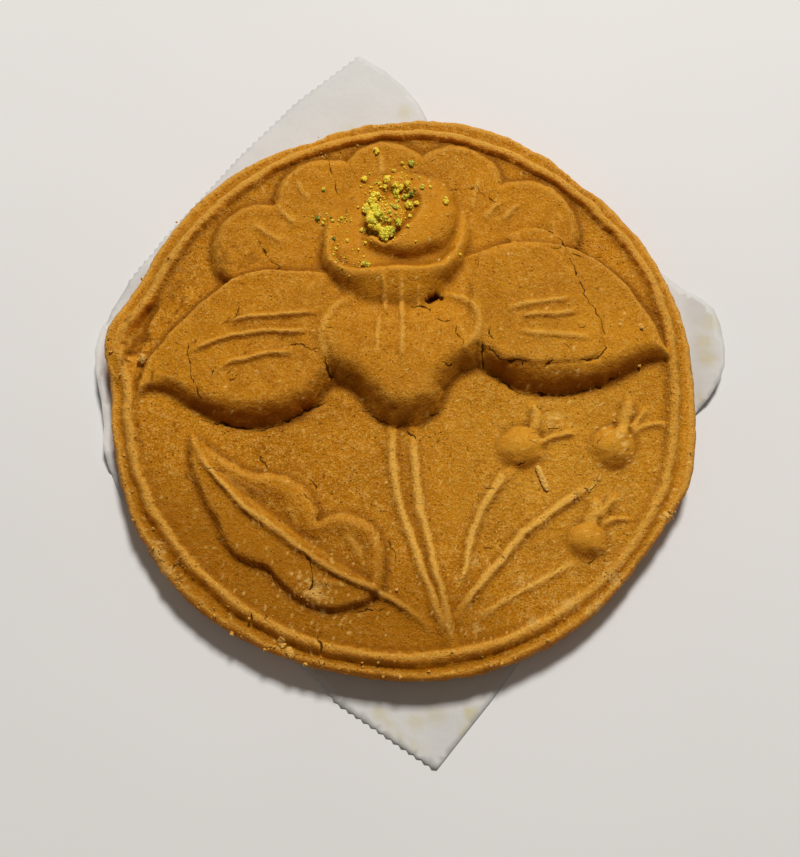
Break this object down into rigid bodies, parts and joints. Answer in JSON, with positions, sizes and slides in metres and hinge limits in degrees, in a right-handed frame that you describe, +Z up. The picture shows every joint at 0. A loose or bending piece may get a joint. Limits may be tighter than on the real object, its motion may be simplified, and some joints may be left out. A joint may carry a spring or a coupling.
{
  "type": "moulded sandesh",
  "caption": "Round pressed milk sweet with a flower, stem, leaf and fruits in relief inside a raised ring, strewn with chopped pistachio, on a loose sheet of greaseproof paper.",
  "frame": {"origin": "middle of the object's footprint, on the surface that the paper lies on", "axes": "+Z up, out of the moulded face; +Y from the foot of the flower's stem towards its back petals, away from the viewer; +X to the viewer's right"},
  "size_m": [0.1678, 0.2002, 0.0195],
  "materials": {
    "sandesh": "satin, fine-grained pressed cheese",
    "paper": "smooth, faintly translucent"
  },
  "bodies": {
    "root": {"sandesh": "sandesh", "paper": "paper"}
  },
  "joints": []
}
